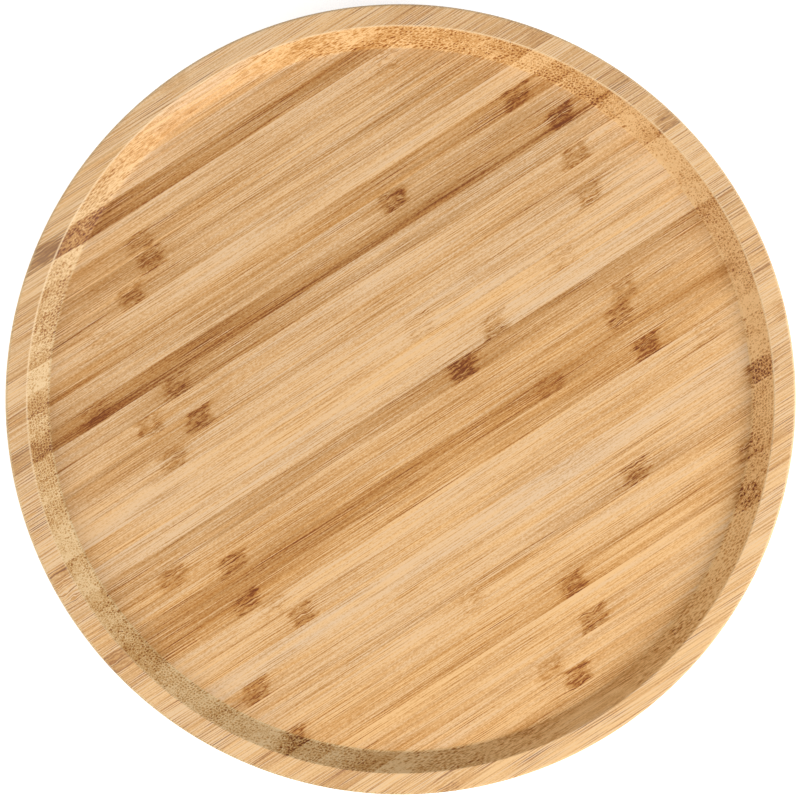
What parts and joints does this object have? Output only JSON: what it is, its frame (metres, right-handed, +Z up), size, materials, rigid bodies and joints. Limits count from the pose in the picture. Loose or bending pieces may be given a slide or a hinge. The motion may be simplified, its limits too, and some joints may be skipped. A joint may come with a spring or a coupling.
{
  "type": "lazy susan turntable",
  "caption": "Round rimmed bamboo tray that turns on a captive ball bearing over a smaller round bamboo base with rubber feet.",
  "frame": {"origin": "on the table top under the centre of the tray: the bottom of the four rubber feet, on the bearing's axis", "axes": "+Z up along the bearing's axis; +X towards the screwdriver hole in the base disc; +Y completes the right-handed set"},
  "size_m": [0.35, 0.35, 0.0399],
  "materials": {
    "bamboo": "satin",
    "zinc_plate": "satin",
    "ball_steel": "polished",
    "cage_nylon": "matte",
    "screw_steel": "satin",
    "washer_steel": "satin",
    "rubber": "matte"
  },
  "bodies": {
    "base": {"base_disc": "bamboo", "lower_plate": "zinc_plate", "base_screw_1": "screw_steel", "base_screw_2": "screw_steel", "base_screw_3": "screw_steel", "base_screw_4": "screw_steel", "foot_1": "rubber", "foot_2": "rubber", "foot_3": "rubber", "foot_4": "rubber", "foot_washer_1": "washer_steel", "foot_washer_2": "washer_steel", "foot_washer_3": "washer_steel", "foot_washer_4": "washer_steel", "foot_screw_1": "screw_steel", "foot_screw_2": "screw_steel", "foot_screw_3": "screw_steel", "foot_screw_4": "screw_steel"},
    "tray": {"tray": "bamboo", "upper_plate": "zinc_plate", "tray_screw_1": "screw_steel", "tray_screw_2": "screw_steel", "tray_screw_3": "screw_steel", "tray_screw_4": "screw_steel"},
    "cage": {"ball_cage": "cage_nylon"},
    "ball_1": {"ball_1": "ball_steel"},
    "ball_2": {"ball_2": "ball_steel"},
    "ball_3": {"ball_3": "ball_steel"},
    "ball_4": {"ball_4": "ball_steel"},
    "ball_5": {"ball_5": "ball_steel"},
    "ball_6": {"ball_6": "ball_steel"},
    "ball_7": {"ball_7": "ball_steel"},
    "ball_8": {"ball_8": "ball_steel"},
    "ball_9": {"ball_9": "ball_steel"},
    "ball_10": {"ball_10": "ball_steel"},
    "ball_11": {"ball_11": "ball_steel"},
    "ball_12": {"ball_12": "ball_steel"},
    "ball_13": {"ball_13": "ball_steel"},
    "ball_14": {"ball_14": "ball_steel"},
    "ball_15": {"ball_15": "ball_steel"},
    "ball_16": {"ball_16": "ball_steel"},
    "ball_17": {"ball_17": "ball_steel"},
    "ball_18": {"ball_18": "ball_steel"},
    "ball_19": {"ball_19": "ball_steel"},
    "ball_20": {"ball_20": "ball_steel"}
  },
  "joints": [
    {"name": "tray_spin", "type": "hinge", "parent": "base", "child": "tray", "pos_m": [0, 0, 0.018], "axis": [0, 0, 1], "continuous": true},
    {"name": "cage_spin", "type": "hinge", "parent": "base", "child": "cage", "pos_m": [0, 0, 0.018], "axis": [0, 0, 1], "continuous": true},
    {"name": "ball_1_roll", "type": "hinge", "parent": "cage", "child": "ball_1", "pos_m": [0.033, 0, 0.01796], "axis": [1, 0, 0], "continuous": true},
    {"name": "ball_2_roll", "type": "hinge", "parent": "cage", "child": "ball_2", "pos_m": [0.03138, 0.0102, 0.01796], "axis": [0.9511, 0.309, 0], "continuous": true},
    {"name": "ball_3_roll", "type": "hinge", "parent": "cage", "child": "ball_3", "pos_m": [0.0267, 0.0194, 0.01796], "axis": [0.809, 0.5878, 0], "continuous": true},
    {"name": "ball_4_roll", "type": "hinge", "parent": "cage", "child": "ball_4", "pos_m": [0.0194, 0.0267, 0.01796], "axis": [0.5878, 0.809, 0], "continuous": true},
    {"name": "ball_5_roll", "type": "hinge", "parent": "cage", "child": "ball_5", "pos_m": [0.0102, 0.03138, 0.01796], "axis": [0.309, 0.9511, 0], "continuous": true},
    {"name": "ball_6_roll", "type": "hinge", "parent": "cage", "child": "ball_6", "pos_m": [0, 0.033, 0.01796], "axis": [0, 1, 0], "continuous": true},
    {"name": "ball_7_roll", "type": "hinge", "parent": "cage", "child": "ball_7", "pos_m": [-0.0102, 0.03138, 0.01796], "axis": [-0.309, 0.9511, 0], "continuous": true},
    {"name": "ball_8_roll", "type": "hinge", "parent": "cage", "child": "ball_8", "pos_m": [-0.0194, 0.0267, 0.01796], "axis": [-0.5878, 0.809, 0], "continuous": true},
    {"name": "ball_9_roll", "type": "hinge", "parent": "cage", "child": "ball_9", "pos_m": [-0.0267, 0.0194, 0.01796], "axis": [-0.809, 0.5878, 0], "continuous": true},
    {"name": "ball_10_roll", "type": "hinge", "parent": "cage", "child": "ball_10", "pos_m": [-0.03138, 0.0102, 0.01796], "axis": [-0.9511, 0.309, 0], "continuous": true},
    {"name": "ball_11_roll", "type": "hinge", "parent": "cage", "child": "ball_11", "pos_m": [-0.033, 0, 0.01796], "axis": [-1, 0, 0], "continuous": true},
    {"name": "ball_12_roll", "type": "hinge", "parent": "cage", "child": "ball_12", "pos_m": [-0.03138, -0.0102, 0.01796], "axis": [-0.9511, -0.309, 0], "continuous": true},
    {"name": "ball_13_roll", "type": "hinge", "parent": "cage", "child": "ball_13", "pos_m": [-0.0267, -0.0194, 0.01796], "axis": [-0.809, -0.5878, 0], "continuous": true},
    {"name": "ball_14_roll", "type": "hinge", "parent": "cage", "child": "ball_14", "pos_m": [-0.0194, -0.0267, 0.01796], "axis": [-0.5878, -0.809, 0], "continuous": true},
    {"name": "ball_15_roll", "type": "hinge", "parent": "cage", "child": "ball_15", "pos_m": [-0.0102, -0.03138, 0.01796], "axis": [-0.309, -0.9511, 0], "continuous": true},
    {"name": "ball_16_roll", "type": "hinge", "parent": "cage", "child": "ball_16", "pos_m": [0, -0.033, 0.01796], "axis": [0, -1, 0], "continuous": true},
    {"name": "ball_17_roll", "type": "hinge", "parent": "cage", "child": "ball_17", "pos_m": [0.0102, -0.03138, 0.01796], "axis": [0.309, -0.9511, 0], "continuous": true},
    {"name": "ball_18_roll", "type": "hinge", "parent": "cage", "child": "ball_18", "pos_m": [0.0194, -0.0267, 0.01796], "axis": [0.5878, -0.809, 0], "continuous": true},
    {"name": "ball_19_roll", "type": "hinge", "parent": "cage", "child": "ball_19", "pos_m": [0.0267, -0.0194, 0.01796], "axis": [0.809, -0.5878, 0], "continuous": true},
    {"name": "ball_20_roll", "type": "hinge", "parent": "cage", "child": "ball_20", "pos_m": [0.03138, -0.0102, 0.01796], "axis": [0.9511, -0.309, 0], "continuous": true}
  ],
  "couplings": [
    {"joint": "cage_spin", "follows": "tray_spin", "ratio": 0.5},
    {"joint": "ball_1_roll", "follows": "tray_spin", "ratio": -6.875},
    {"joint": "ball_2_roll", "follows": "tray_spin", "ratio": -6.875},
    {"joint": "ball_3_roll", "follows": "tray_spin", "ratio": -6.875},
    {"joint": "ball_4_roll", "follows": "tray_spin", "ratio": -6.875},
    {"joint": "ball_5_roll", "follows": "tray_spin", "ratio": -6.875},
    {"joint": "ball_6_roll", "follows": "tray_spin", "ratio": -6.875},
    {"joint": "ball_7_roll", "follows": "tray_spin", "ratio": -6.875},
    {"joint": "ball_8_roll", "follows": "tray_spin", "ratio": -6.875},
    {"joint": "ball_9_roll", "follows": "tray_spin", "ratio": -6.875},
    {"joint": "ball_10_roll", "follows": "tray_spin", "ratio": -6.875},
    {"joint": "ball_11_roll", "follows": "tray_spin", "ratio": -6.875},
    {"joint": "ball_12_roll", "follows": "tray_spin", "ratio": -6.875},
    {"joint": "ball_13_roll", "follows": "tray_spin", "ratio": -6.875},
    {"joint": "ball_14_roll", "follows": "tray_spin", "ratio": -6.875},
    {"joint": "ball_15_roll", "follows": "tray_spin", "ratio": -6.875},
    {"joint": "ball_16_roll", "follows": "tray_spin", "ratio": -6.875},
    {"joint": "ball_17_roll", "follows": "tray_spin", "ratio": -6.875},
    {"joint": "ball_18_roll", "follows": "tray_spin", "ratio": -6.875},
    {"joint": "ball_19_roll", "follows": "tray_spin", "ratio": -6.875},
    {"joint": "ball_20_roll", "follows": "tray_spin", "ratio": -6.875}
  ]
}
